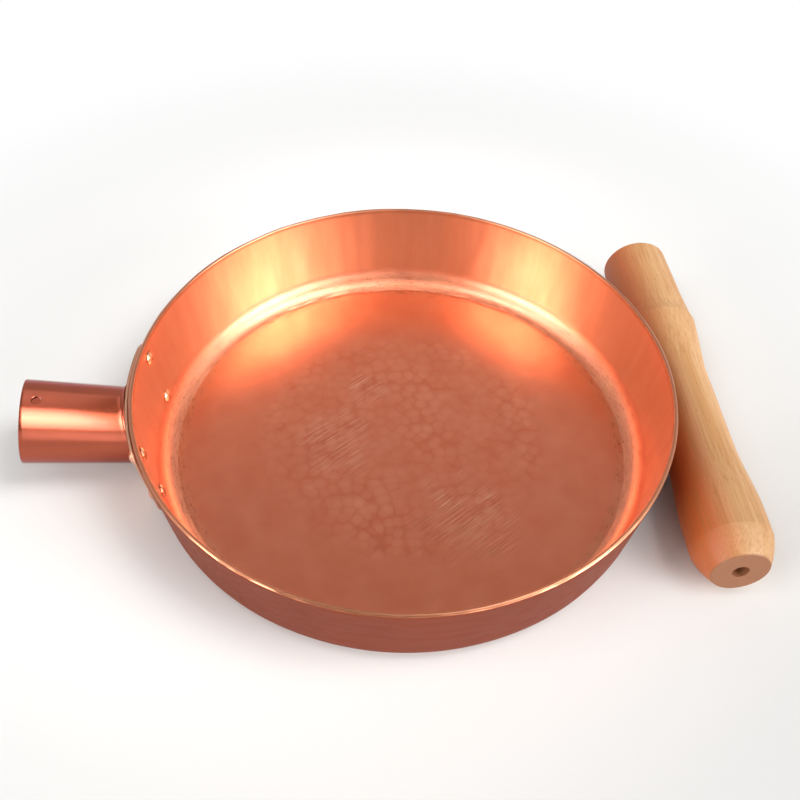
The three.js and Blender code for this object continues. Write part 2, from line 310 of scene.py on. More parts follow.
    # each relief on top of the one before
    relief = {}
    for amount, deep, height in (("markShare", "markDeep", edges.outputs["Result"]),
                                 ("brushShare", "brushDeep", brush.outputs["Fac"]),
                                 ("bandShare", "grainDeep", grain.outputs["Fac"]),
                                 ("bandShare", "scoreDeep", scores.outputs["Fac"])):
        bump = addNode(tree, "ShaderNodeBump", {
            "Strength": share[amount], "Distance": look[deep] * mm, "Height": height, **relief})
        relief = {"Normal": bump.outputs["Normal"]}
    shader = addNode(tree, "ShaderNodeBsdfPrincipled", {
        "Base Color": colour.outputs[2], "Metallic": look["metallic"],
        "Roughness": roughness.outputs["Value"], "Specular Tint": toLinear(look["edgeTint"]),
        "Coat Weight": look["lacquer"], "Coat Roughness": look["lacquerRough"], **relief})
    addNode(tree, "ShaderNodeOutputMaterial", {"Surface": shader.outputs["BSDF"]})
    return material


# Drawn copper, rubbed down along its length: satin and deep, with faint lines. Its copper is painted much
# darker than the pan's: painted shade, standing in for the dark table and room it would mirror. Oxide under
# the lacquer scatters some of the light, so the metal is not quite bare and its dark places stay brown.
tubeLooks = {
    "name": "satin copper tube", "pale": "#AC4E2F", "deep": "#9A4227", "edgeTint": "#C89070",
    "metallic": 0.94, "lacquer": 0.7, "lacquerRough": 0.14,
    "lineLong": 60, "lineWide": 0.7, "lineDeep": 0.03, "blotchMm": 14, "roughMin": 0.17, "roughMax": 0.25,
}
# the plate's copper is painted paler than the tube's: painted highlight along its top edge
plateLooks = {
    "name": "brown copper plate", "pale": "#D0987A", "deep": "#B4785A", "edgeTint": "#FFE4D6",
    "metallic": 0.7, "lacquer": 0.6, "lacquerRough": 0.3,
    "lineLong": 24, "lineWide": 1.1, "lineDeep": 0.03, "blotchMm": 9, "roughMin": 0.3, "roughMax": 0.4,
}
rivetLooks = {  # small facets left by the hammer
    "name": "hammered copper rivet", "pale": "#F3AE8A", "deep": "#D98A64", "edgeTint": "#FFF0E6",
    "metallic": 1.0, "lacquer": 1.0, "lacquerRough": 0.25,
    "lineLong": 1.4, "lineWide": 1.4, "lineDeep": 0.08, "blotchMm": 3, "roughMin": 0.24, "roughMax": 0.32,
}
outsidePaintedShade = {  # dull, no lacquer, and painted dark brown: painted shade standing in for the dark table the bare copper would mirror
    "name": "browned copper sheet", "pale": "#8C442B", "deep": "#7E3C25", "edgeTint": "#8A5A44",
    "metallic": 0.45, "lacquer": 0.0, "lacquerRough": 0.3,
    "lineLong": 40, "lineWide": 3.0, "lineDeep": 0.04, "blotchMm": 22, "roughMin": 0.4, "roughMax": 0.5,
}
lineShow = 0.5  # how much of their depth the lines show


def satinCopper(look, turn):
    material, tree = newMaterial(look["name"])
    coords = addNode(tree, "ShaderNodeTexCoord").outputs["Object"]
    turned = addNode(tree, "ShaderNodeMapping", {"Vector": coords, "Rotation": (0, turn, 0)})
    stretched = addNode(tree, "ShaderNodeMapping", {
        "Vector": turned.outputs["Vector"],
        "Scale": perSize(look["lineLong"], look["lineWide"], look["lineWide"])})
    lines = addNode(tree, "ShaderNodeTexNoise", {
        "Vector": stretched.outputs["Vector"], "Scale": 1.0, **softNoise})
    blotch = addNode(tree, "ShaderNodeTexNoise", {
        "Vector": coords, "Scale": 1 / (look["blotchMm"] * mm), **fullNoise})
    tone = addNode(tree, "ShaderNodeMix", {
        0: blotch.outputs["Fac"], 6: toLinear(look["pale"]), 7: toLinear(look["deep"])}, data_type="RGBA")
    roughness = addNode(tree, "ShaderNodeMapRange", {
        "Value": lines.outputs["Fac"], "From Min": noiseLow, "From Max": noiseHigh,
        "To Min": look["roughMin"], "To Max": look["roughMax"]})
    bump = addNode(tree, "ShaderNodeBump", {
        "Strength": lineShow, "Distance": look["lineDeep"] * mm, "Height": lines.outputs["Fac"]})
    shader = addNode(tree, "ShaderNodeBsdfPrincipled", {
        "Base Color": tone.outputs[2], "Metallic": look["metallic"],
        "Roughness": roughness.outputs["Result"], "Specular Tint": toLinear(look["edgeTint"]),
        "Coat Weight": look["lacquer"], "Coat Roughness": look["lacquerRough"],
        "Normal": bump.outputs["Normal"]})
    addNode(tree, "ShaderNodeOutputMaterial", {"Surface": shader.outputs["BSDF"]})
    return material


# The pan: a spun sheet with a filed rim, beaten by hand inside
panShape = {
    "steps": 584,  # around; a quarter of it is even, so that the floor's grid meets the spin
    "rimCut": 1.1, "rimSlope": math.radians(33),  # the rim's outer edge is filed off
    "rimOuter": 0.4, "rimTop": 0.8, "rimInner": 0.7, "disc": 94.0,
    "cornerSegments": 8, "outerSegments": 4, "topSegments": 4, "innerSegments": 5,
    "wallStep": 1.8, "outsideStep": 4.0, "baseStep": 32.0, "edgeStep": 0.45,
    "floorEdge": 104.0, "crease": math.radians(14), "cornerSteps": 26,  # the floor ends at a crease
    "floorTop": 4.0,  # below this height it is still the floor and its groove
    "wallFrom": 6.0, "wallFull": 12.0,  # heights between which the corner becomes the wall
    "outwards": 1.2,  # a face that leans further out than this belongs to the outside
    "ringFrom": 98.0, "ringSoft": 6.0,  # a beaten ring ends the floor
    "scoreFrom": 99.0, "scoreSoft": 3.0, "scoreTo": 3.0,  # out along the floor, then up
    "scoreMore": 4.0, "scoreLeast": 0.4,  # on four sides the corner was beaten higher and harder
    "grooveWide": 0.7, "grooveDeep": 0.16, "grooveRagged": 1.0, "grooveMm": 7.0,
    "grooveLow": -0.3, "grooveHigh": 0.3,  # noise between which the groove fades in
    "marked": 66.0, "markedSoft": 5.0,  # the middle that the hammer marked
    "markPatch": 26.0, "markLeast": 0.3, "markMost": 0.8,  # marks come and go
    "patchLow": -0.3, "patchHigh": 0.5,
    "mark": 4.8, "markDeep": 0.02, "markReach": 0.55,  # reach is where a mark's edge is highest, in marks
    "bandMark": 2.4, "bandDeep": 0.036,
    "strokeWide": 6.0, "strokeTall": 34.0, "strokeDeep": 0.09,  # marks up the wall
    "wave": 30.0, "waveDeep": 0.16, "waveFull": 6.0,  # slow unevenness, none at the base
    "rimWave": 22.0, "rimDeep": 0.25, "rimWaveFrom": 4.0,  # and a rim that isn't quite level
    "rimFrom": 1.0, "rimFull": 0.5,  # below the top: where the rim's colour starts and is full
    "brushed": ((-29, 1, 22), (23, -49, 27), (-14, 34, 13)),  # middle and reach of each brushed patch
}


def addDisc(bm, radius, height, sides):  # a grid drawn out to a circle, to meet a spin of four times sides
    grid = bmesh.ops.create_grid(bm, x_segments=sides, y_segments=sides, size=1)
    for vert in grid["verts"]:
        u, v = vert.co.x, vert.co.y
        if abs(u) >= abs(v):
            reach, turn = u, math.pi / 4 * (v / u if u else 0)
        else:
            reach, turn = v, math.pi / 2 - math.pi / 4 * u / v
        vert.co = (radius * reach * math.cos(turn), radius * reach * math.sin(turn), height)


def markAt(place, size):  # 0 in the middle of a hammer mark, 1 at its edge
    return smoothStep(0, panShape["markReach"], noise.voronoi(place / size)[0][0])


def facesOut(place, normal):  # true on the underside, the outer wall and the rim's outer edge
    return normal.x * place.x + normal.y * place.y > normal.z * wall["rimRadius"] * panShape["outwards"]


def panRelief(place, normal):  # how far the hammer moved a point, and its share of each finish
    shape = panShape
    r = math.hypot(place.x, place.y)
    slow = noise.noise(place / shape["wave"]) * shape["waveDeep"] * smoothStep(0, shape["waveFull"], place.z)
    if facesOut(place, normal):
        return slow, [0.0] * len(finishShares)
    onRim = smoothStep(wall["height"] - shape["rimFrom"], wall["height"] - shape["rimFull"], place.z)
    onWall = smoothStep(shape["wallFrom"], shape["wallFull"], place.z)
    ring = shape["ringFrom"]
    band = smoothStep(ring, ring + shape["ringSoft"], r) * (1 - onWall)
    score = smoothStep(shape["scoreFrom"], shape["scoreFrom"] + shape["scoreSoft"], r)
    beaten = abs(math.cos(2 * math.atan2(place.y, place.x)))
    scoreTo = shape["scoreTo"] + beaten * shape["scoreMore"]
    score *= 1 - smoothStep(scoreTo, scoreTo + shape["scoreSoft"], place.z)
    score *= shape["scoreLeast"] + (1 - shape["scoreLeast"]) * beaten
    marked = shape["marked"] + shape["markedSoft"] * noise.noise(place / shape["markedSoft"])
    markShare = 1 - smoothStep(marked - shape["markedSoft"], marked + shape["markedSoft"], r)
    patch = smoothStep(shape["patchLow"], shape["patchHigh"], noise.noise(place / shape["markPatch"]))
    markShare *= shape["markLeast"] + (shape["markMost"] - shape["markLeast"]) * patch
    brush = 0.0
    if r < ring:
        for x, y, reach in shape["brushed"]:
            away = math.hypot(place.x - x, place.y - y) + reach / 2 * noise.noise(place / reach * 2)
            brush = max(brush, 1 - smoothStep(reach / 2, reach, away))
    relief = slow + markShare * shape["markDeep"] * markAt(place, shape["mark"]) * (1 - onWall)
    relief += band * shape["bandDeep"] * markAt(place, shape["bandMark"])
    upright = place.z * shape["strokeWide"] / shape["strokeTall"]
    stroke = Vector((place.x, place.y, upright)) / shape["strokeWide"]
    relief += onWall * shape["strokeDeep"] * noise.noise(stroke)
    if place.z < shape["floorTop"]:
        ragged = shape["floorEdge"] + shape["grooveRagged"] * noise.noise(place / shape["grooveMm"])
        breaks = noise.noise(place.yzx / shape["grooveMm"])
        broken = smoothStep(shape["grooveLow"], shape["grooveHigh"], breaks)
        relief -= broken * shape["grooveDeep"] * math.exp(-((r - ragged) / shape["grooveWide"]) ** 2)
    return relief, [brush, band, onWall, markShare, onRim, score]  # in the order of finishShares


def cornerArc():  # from where it runs into the wall down to the crease at the floor's edge
    shape, thick = panShape, wall["sheet"]
    start, end = shape["crease"], math.pi / 2 - wall["lean"]
    across = math.sin(end) - math.sin(start)
    up = math.cos(start) - math.cos(end)
    radius = (wallRadius(thick, -thick) - shape["floorEdge"]) / (across - up * math.tan(wall["lean"]))
    angles = [end + (start - end) * step / shape["cornerSteps"] for step in range(shape["cornerSteps"] + 1)]
    return [(shape["floorEdge"] + radius * (math.sin(a) - math.sin(start)),
             thick + radius * (math.cos(start) - math.cos(a))) for a in angles]


def makePan():
    shape = panShape
    thick = wall["sheet"]
    filed = wall["height"] - shape["rimCut"] * math.tan(shape["rimSlope"])
    bm, verts = drawProfile([
        (0, 0), (wallRadius(0), 0), (wallRadius(filed), filed),
        (wall["rimRadius"] - shape["rimCut"], wall["height"]),
        (wallRadius(wall["height"], -thick), wall["height"])] + cornerArc() + [(shape["disc"], thick)])
    corners = ((wall["corner"], "cornerSegments"), (shape["rimOuter"], "outerSegments"),
               (shape["rimTop"], "topSegments"), (shape["rimInner"], "innerSegments"))
    for vert, (radius, segments) in zip(verts[1:], corners):
        roundCorner(bm, vert, radius, shape[segments])

    def spacing(r, z):
        if z < weld:
            return shape["baseStep"]
        if r > wallRadius(z, -thick) + near:
            return shape["outsideStep"]
        return shape["wallStep"] if z > shape["floorTop"] else shape["edgeStep"]

    splitEdges(bm, spacing)
    spinProfile(bm, shape["steps"])
    addDisc(bm, shape["disc"], thick, shape["steps"] // 4)
    closeMesh(bm)
    for face in bm.faces:
        face.material_index = int(facesOut(face.calc_center_median(), face.normal))
    moves, shares, ringPlaces = [], [], []
    for vert in bm.verts:
        r = max(math.hypot(vert.co.x, vert.co.y), shape["rimOuter"])
        around = shape["disc"] / r * mm
        ringPlaces += [vert.co.x * around, vert.co.y * around, (r + vert.co.z) * mm]
        relief, finish = panRelief(vert.co, vert.normal)
        rimShare = smoothStep(wall["height"] - shape["rimWaveFrom"], wall["height"], vert.co.z)
        uneven = Vector((0, 0, rimShare * shape["rimDeep"] * noise.noise(vert.co / shape["rimWave"])))
        moves.append(vert.normal * relief + uneven)
        shares.append(finish)
    for vert, move in zip(bm.verts, moves):
        vert.co += move
    piece = addPiece("hammered_pan", bm, hammeredCopper(), "pan", "hammered_copper", "pan_body")
    # the outside takes the darker sheet: painted shade
    piece.data.materials.append(satinCopper(outsidePaintedShade, 0))
    for name, values in zip(finishShares, zip(*shares)):
        setShare(piece.data, name, values)
    layer = piece.data.attributes.new("ringPlace", "FLOAT_VECTOR", "POINT")  # round the pan, and out or up
    layer.data.foreach_set("vector", ringPlaces)


makePan()


# The socket: a tapered tube that slopes up, its flared foot cut to the plate
rows = {"spacing": 26.0, "drop": 2.5}
rows["middle"] = (wall["cornerTop"] + wall["height"]) / 2 - rows["drop"]
socket = {
    "length": 50.5, "rise": math.radians(8.7), "drop": 0.7,
    "mouth": 18.4, "taper": 0.031, "thick": 1.3, "mouthRound": 0.55, "mouthSegments": 3,
    "flare": 2.0, "flareRound": 1.95, "flareSegments": 8, "lip": 0.6,
    "holeRadius": 2.0, "holeEase": 0.2, "holeBack": 6.5, "holeTurn": math.radians(11),
    "steps": 128, "step": 1.6, "holeSteps": 32, "crisp": math.radians(28),
    "footTries": 12,  # steps towards the plate, each far smaller than the last
}
socket["seat"] = rows["middle"] - socket["drop"]
socket["root"] = socket["mouth"] - socket["taper"] * socket["length"]
socket["foot"] = socket["root"] + socket["flare"]
socket["face"] = wall["gap"] + wall["plate"] + wall["gap"]  # from the wall out to where the foot stands


def socketFrame():  # local Z along the tube towards its mouth, local Y upwards
    along = Vector((-math.cos(socket["rise"]), 0, math.sin(socket["rise"])))
    up = Vector((math.sin(socket["rise"]), 0, math.cos(socket["rise"])))
    across = up.cross(along)
    turn = Matrix((across, up, along)).transposed().to_4x4()
    return Matrix.Translation((-wallRadius(socket["seat"]), 0, socket["seat"])) @ turn


def footHeight(place, toRow):  # how far along the tube a line from place meets the plate
    height = 0.0
    for _ in range(socket["footTries"]):
        p = toRow @ Vector((place.x, place.y, height))
        height += wallRadius(p.z, socket["face"]) - math.hypot(p.x, p.y)
    return height


def cutHole(piece, toRow):  # the fixing hole, drilled from above near the mouth and eased at its edge
    radius, ease = socket["holeRadius"], socket["holeEase"]
    skin = socket["mouth"] - socket["taper"] * socket["holeBack"]
    bm, _ = drawProfile([
        (0, skin / 2), (radius, skin / 2), (radius, skin - ease),
        (radius + 2 * ease, skin + ease), (0, skin + ease)])
    spinProfile(bm, socket["holeSteps"])
    upright = Matrix.Rotation(-math.pi / 2, 4, "X")  # the drill's axis from local Z to local Y
    tilt = Matrix.Rotation(-socket["holeTurn"], 4, "Z")
    bm.transform(toRow @ Matrix.Translation((0, 0, socket["length"] - socket["holeBack"])) @ tilt @ upright)
    drill = addObject("drill", bm, mm)
    cut = piece.modifiers.new("fixing hole", "BOOLEAN")
    cut.object = drill
    cut.solver = "EXACT"
    bpy.context.view_layer.update()
    drilled = bpy.data.meshes.new_from_object(piece.evaluated_get(bpy.context.evaluated_depsgraph_get()))
    piece.modifiers.clear()
    piece.data = drilled
    piece.data.set_sharp_from_angle(angle=socket["crisp"])
    bpy.data.objects.remove(drill)


def makeSocket():
    toRow = socketFrame()
    thick, length, bore = socket["thick"], socket["length"], socket["root"] - socket["thick"]
    flareTop = socket["lip"] + socket["flare"]
    bm, verts = drawProfile([
        (bore, 0), (socket["foot"], 0), (socket["foot"], socket["lip"]), (socket["root"], socket["lip"]),
        (socket["mouth"], length), (socket["mouth"] - thick, length), (bore, 0)])
    bmesh.ops.remove_doubles(bm, verts=bm.verts[:], dist=weld)
    _, _, _, flareCorner, mouthOuter, mouthInner, _ = verts
    roundCorner(bm, flareCorner, socket["flareRound"], socket["flareSegments"])
    for vert in (mouthOuter, mouthInner):
        roundCorner(bm, vert, socket["mouthRound"], socket["mouthSegments"])
    splitEdges(bm, lambda r, z: socket["step"])
    spinProfile(bm, socket["steps"])
    for vert in bm.verts:
        share = 1 - max(0, vert.co.z - flareTop) / (length - flareTop)
        vert.co.z += share * footHeight(vert.co, toRow)
    bm.transform(toRow)
    material = satinCopper(tubeLooks, -socket["rise"])
    piece = addPiece("tube_socket", bm, material, "pan", "satin_copper", "handle_socket")
    cutHole(piece, toRow)


makeSocket()


# Rivets through wall and plate, a low dome at each end
rivet = {
    "head": 3.3, "insideHigh": 1.5, "outsideHigh": 1.6, "shank": 2.0,
    "steps": 48, "arcSteps": 8, "uneven": 0.07, "unevenMm": 1.8,
    "unlike": 9.0,  # moves each one to another part of the noise
}
rivetNodes = {  # how many rows above the middle
    "rivet_lower_rear": -0.5, "rivet_lower_front": -0.5, "rivet_upper_rear": 0.5, "rivet_upper_front": 0.5,
}


def domeArc(high):  # from the edge of a head to its top: distance out, height
    ball = (rivet["head"] ** 2 + high ** 2) / (2 * high)
    widest = math.asin(rivet["head"] / ball)
    angles = [widest * (1 - step / rivet["arcSteps"]) for step in range(rivet["arcSteps"] + 1)]
    return [(ball * math.sin(a), high - ball * (1 - math.cos(a))) for a in angles]


def makeRivet(node, row, material):
    low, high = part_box(node)
    angle = math.atan2((low.y + high.y) / 2, (low.x + high.x) / 2)
    inner = -wall["sheet"] - wall["gap"]
    outside = [(r, socket["face"] + z) for r, z in domeArc(rivet["outsideHigh"])]
    inside = [(r, inner - z) for r, z in reversed(domeArc(rivet["insideHigh"]))]
    bm, _ = drawProfile(inside + [(rivet["shank"], inner), (rivet["shank"], socket["face"])] + outside)
    spinProfile(bm, rivet["steps"])
    apart = Vector((angle, row, 0)) * rivet["unlike"]
    for vert in bm.verts:
        vert.co += vert.normal * rivet["uneven"] * noise.noise(vert.co / rivet["unevenMm"] + apart)
    bm.transform(wallFrame(angle, rows["middle"] + row * rows["spacing"]))
    addPiece("hammered_" + node, bm, material, "pan", "rivet_copper", node)


rivetCopper = satinCopper(rivetLooks, 0)
for rivetNode, rivetRow in rivetNodes.items():
    makeRivet(rivetNode, rivetRow, rivetCopper)


# The plate behind the socket, bent to the wall
plate = {
    "margin": 0.8, "sideMargin": 4.4, "corner": 8.0, "spread": 28.7,
    "columns": 48, "rowsUp": 32, "edgeRound": 0.6, "edgeSegments": 3,
    "edgeAngle": math.radians(60),  # a sharper turn than this is an edge
}


def makePlate():
    high = socket["foot"] / math.cos(socket["rise"]) + plate["margin"]
    wide = plate["spread"] + rivet["head"] + plate["sideMargin"]
    corner = plate["corner"]
    bm = bmesh.new()
    bmesh.ops.create_grid(bm, x_segments=plate["columns"], y_segments=plate["rowsUp"], size=1)
    for vert in bm.verts:
        z = high * math.sin(vert.co.y * math.pi / 2)  # rows crowd towards the rounded corners
        into = max(0, abs(z) - high + corner)
        y = vert.co.x * (wide - corner + math.sqrt(max(0, corner ** 2 - into ** 2)))
        z += socket["seat"]
        vert.co = (-math.sqrt(wallRadius(z, wall["gap"]) ** 2 - y ** 2), y, z)
    shell = bmesh.ops.extrude_face_region(bm, geom=bm.faces[:])
    for vert in shell["geom"]:
        if isinstance(vert, bmesh.types.BMVert):
            angle = math.atan2(vert.co.y, vert.co.x)
            vert.co += wallFrame(angle, vert.co.z).col[2].to_3d() * wall["plate"]
    closeMesh(bm)
    rim = [edge for edge in bm.edges if edge.calc_face_angle() > plate["edgeAngle"]]
    bmesh.ops.bevel(bm, geom=rim, offset=plate["edgeRound"], affect="EDGES",
                    segments=plate["edgeSegments"], profile=0.5, material=-1)
    closeMesh(bm)
    material = satinCopper(plateLooks, 0)
    addPiece("curved_plate", bm, material, "pan", "plate_copper", "mounting_plate")


makePlate()


# Turned hardwood, beech or the like: pale and straight grained, with fine dark lines and short flecks along
# the grain; the side towards the pan is painted darker and orange: painted shade and painted reflection of
# the copper
woodLooks = {
    "pale": "#BC9468", "warm": "#AD7D4C", "line": "#9C652F", "fleck": "#8E5529",
    # painted shade and painted copper reflection on the side towards the pan
    "panShade": "#B85824", "panShadeMost": 0.92,
    "panShadeFrom": 2.0, "panShadeTo": -14.0, "panShadeWander": 8.0,  # across the handle, in millimetres
    "endPale": "#95623F", "endDeep": "#804E33", "endMm": 1.1,
    "lineWide": 0.6, "lineLong": 30, "lineFrom": 0.48, "lineTo": 0.7, "lineMost": 0.62,
    "fleckWide": 0.5, "fleckLong": 4, "fleckFrom": 0.67, "fleckTo": 0.76, "fleckMost": 0.6,
    "growthWide": 4.5, "growthLong": 120, "growthFrom": 0.35, "growthTo": 0.65, "growthMost": 1.0,
    "grainDeep": 0.06, "grainShow": 0.4, "roughMin": 0.46, "roughMax": 0.6, "ior": 1.5,
}


def turnedWood(centre, turn, pitch):
    look = woodLooks
    material, tree = newMaterial("turned beech")
    coords = addNode(tree, "ShaderNodeTexCoord").outputs["Object"]
    endShare = addNode(tree, "ShaderNodeAttribute", attribute_name="endShare").outputs["Fac"]
    local = addNode(tree, "ShaderNodeMapping", {
        "Vector": coords, "Location": centre, "Rotation": (pitch, 0, turn)}, vector_type="TEXTURE")
    noises, masks = {}, {}
    for name, kind in (("line", fullNoise), ("fleck", fleckNoise), ("growth", softNoise)):
        space = addNode(tree, "ShaderNodeMapping", {
            "Vector": local.outputs["Vector"],
            "Scale": perSize(look[name + "Wide"], look[name + "Long"], look[name + "Wide"])})
        noises[name] = addNode(tree, "ShaderNodeTexNoise", {
            "Vector": space.outputs["Vector"], "Scale": 1.0, **kind}).outputs["Fac"]
        masks[name] = addNode(tree, "ShaderNodeMapRange", {
            "Value": noises[name], "From Min": look[name + "From"], "From Max": look[name + "To"],
            "To Max": look[name + "Most"]}).outputs["Result"]
    # the edge of the painted shade towards the pan wanders with the growth noise
    across = addNode(tree, "ShaderNodeSeparateXYZ", {"Vector": local.outputs["Vector"]})
    spread = addNode(tree, "ShaderNodeMath", {
        0: noises["growth"], 1: look["panShadeWander"] * mm, 2: across.outputs["X"]}, operation="MULTIPLY_ADD")
    middle = look["panShadeWander"] * noiseMiddle
    panShade = addNode(tree, "ShaderNodeMapRange", {
        "Value": spread.outputs["Value"], "From Min": (look["panShadeFrom"] + middle) * mm,
        "From Max": (look["panShadeTo"] + middle) * mm, "To Max": look["panShadeMost"]},
        interpolation_type="SMOOTHSTEP")
    pores = addNode(tree, "ShaderNodeTexNoise", {
        "Vector": local.outputs["Vector"], "Scale": 1 / (look["endMm"] * mm), **poreNoise})
    endTone = addNode(tree, "ShaderNodeMix", {
        0: pores.outputs["Fac"], 6: toLinear(look["endPale"]), 7: toLinear(look["endDeep"])},
        data_type="RGBA")
    colour = addNode(tree, "ShaderNodeMix", {
        0: masks["growth"], 6: toLinear(look["pale"]), 7: toLinear(look["warm"])}, data_type="RGBA")
    for amount, over in ((panShade.outputs["Result"], toLinear(look["panShade"])),
                         (masks["line"], toLinear(look["line"])),
                         (masks["fleck"], toLinear(look["fleck"])),
                         (endShare, endTone.outputs[2])):
        colour = addNode(tree, "ShaderNodeMix", {0: amount, 6: colour.outputs[2], 7: over}, data_type="RGBA")
    roughness = addNode(tree, "ShaderNodeMapRange", {
        "Value": noises["line"], "From Min": noiseLow, "From Max": noiseHigh,
        "To Min": look["roughMin"], "To Max": look["roughMax"]})
    bump = addNode(tree, "ShaderNodeBump", {
        "Strength": look["grainShow"], "Distance": look["grainDeep"] * mm, "Height": noises["line"]})
    shader = addNode(tree, "ShaderNodeBsdfPrincipled", {
        "Base Color": colour.outputs[2], "Roughness": roughness.outputs["Result"], "IOR": look["ior"],
        "Normal": bump.outputs["Normal"]})
    addNode(tree, "ShaderNodeOutputMaterial", {"Surface": shader.outputs["BSDF"]})
    return material


# The handle, from the tip of its tenon to the end of its butt, lying beside the pan
handle = {
    "fit": 0.2, "insert": 32.0, "tipRound": 1.0, "tipSegments": 4, "flare": 19.5, "shoulder": 18.5,
    "easeDeep": 0.9, "easeLong": 7.0,  # the flare turns steeper before the shoulder
    "latheMark": 0.15, "latheAt": 42.0, "latheWide": 0.9,  # a ring left by the lathe
    "neck": 30.0, "waist": 15.4, "waistLong": 48.0, "waistRound": 40.0, "waistSegments": 6,
    "swell": 36.0, "swellSteps": 12, "butt": 17.7, "buttLong": 11.5,
    "buttCurve": 13.0, "buttBreak": 0.17, "buttSteps": 8,  # a crisp ring where the butt starts to close in
    "endFace": 12.4, "hole": 3.7, "holeDeep": 30.0, "drillPoint": 0.6,
    "endFrom": 0.6,  # from the end: where the end grain starts
    "turn": math.radians(-1), "touch": 97.5,  # touch is how far from its tip it leans on the pan
    "steps": 160, "step": 1.5, "crisp": math.radians(6),
}


def handleOutline():
    seat = socket["mouth"] - socket["thick"] - handle["fit"]
    tip = seat - socket["taper"] * handle["insert"]
    shoulderAt = handle["insert"] + handle["flare"]
    waistAt = shoulderAt + handle["neck"]
    swellAt = waistAt + handle["waistLong"]
    buttAt = swellAt + handle["swell"]
    curveAt = buttAt + handle["buttLong"]
    end = curveAt + handle["buttCurve"]
    easeAt = (handle["shoulder"] - handle["easeDeep"], shoulderAt - handle["easeLong"])
    slope = (easeAt[0] - seat) / (easeAt[1] - handle["insert"])
    ringAt = seat + slope * (handle["latheAt"] - handle["insert"])
    points = [(0, 0), (tip, 0), (seat, handle["insert"]), (ringAt, handle["latheAt"]),
              (ringAt - handle["latheMark"], handle["latheAt"] + handle["latheWide"] / 2),
              (ringAt + handle["latheMark"], handle["latheAt"] + handle["latheWide"]),
              easeAt, (handle["shoulder"], shoulderAt)]
    waistPoint = len(points)
    points += [(handle["waist"], waistAt), (handle["waist"], swellAt)]
    for step in range(1, handle["swellSteps"]):
        t = step / handle["swellSteps"]
        r = handle["waist"] + (handle["butt"] - handle["waist"]) * smoothStep(0, 1, t)
        points.append((r, swellAt + t * handle["swell"]))
    points.append((handle["butt"], buttAt))
    closing = handle["butt"] - handle["endFace"] - handle["buttBreak"] * handle["buttCurve"]
    bend = closing / handle["buttCurve"] ** 2
    for step in range(handle["buttSteps"] + 1):
        z = step / handle["buttSteps"] * handle["buttCurve"]
        points.append((handle["butt"] - handle["buttBreak"] * z - bend * z * z, curveAt + z))
    points += [(handle["hole"], end), (handle["hole"], end - handle["holeDeep"]),
               (0, end - handle["holeDeep"] - handle["hole"] * handle["drillPoint"])]
    return points, waistPoint, shoulderAt, curveAt, end


def makeHandle():
    points, waistPoint, shoulderAt, curveAt, end = handleOutline()
    bm, verts = drawProfile(points)
    roundCorner(bm, verts[1], handle["tipRound"], handle["tipSegments"])
    roundCorner(bm, verts[waistPoint], handle["waistRound"], handle["waistSegments"])
    splitEdges(bm, lambda r, z: handle["step"])
    spinProfile(bm, handle["steps"])
    pitch = math.atan2(handle["shoulder"] - handle["butt"], curveAt - shoulderAt)
    lift = handle["shoulder"] * math.cos(pitch) - (handle["touch"] - shoulderAt) * math.sin(pitch)
    place = (Matrix.Rotation(handle["turn"], 4, "Z")
             @ Matrix.Translation((wallRadius(lift, handle["waist"] + wall["gap"]), 0, lift))
             @ Matrix.Rotation(pitch, 4, "X")
             @ Matrix.Translation((0, handle["touch"], 0)) @ Matrix.Rotation(math.pi / 2, 4, "X"))
    ends = []
    for vert in bm.verts:
        inHole = math.hypot(vert.co.x, vert.co.y) < handle["hole"] + near and vert.co.z > end / 2
        ends.append(max(inHole, smoothStep(end - handle["endFrom"], end - near, vert.co.z)))
    bm.transform(place)
    centre = place.to_translation() * mm
    material = turnedWood(centre, handle["turn"], pitch)
    piece = addPiece("turned_handle", bm, material, "handle", "turned_wood", "wooden_handle")
    setShare(piece.data, "endShare", ends)
    piece.data.set_sharp_from_angle(angle=handle["crisp"])


makeHandle()


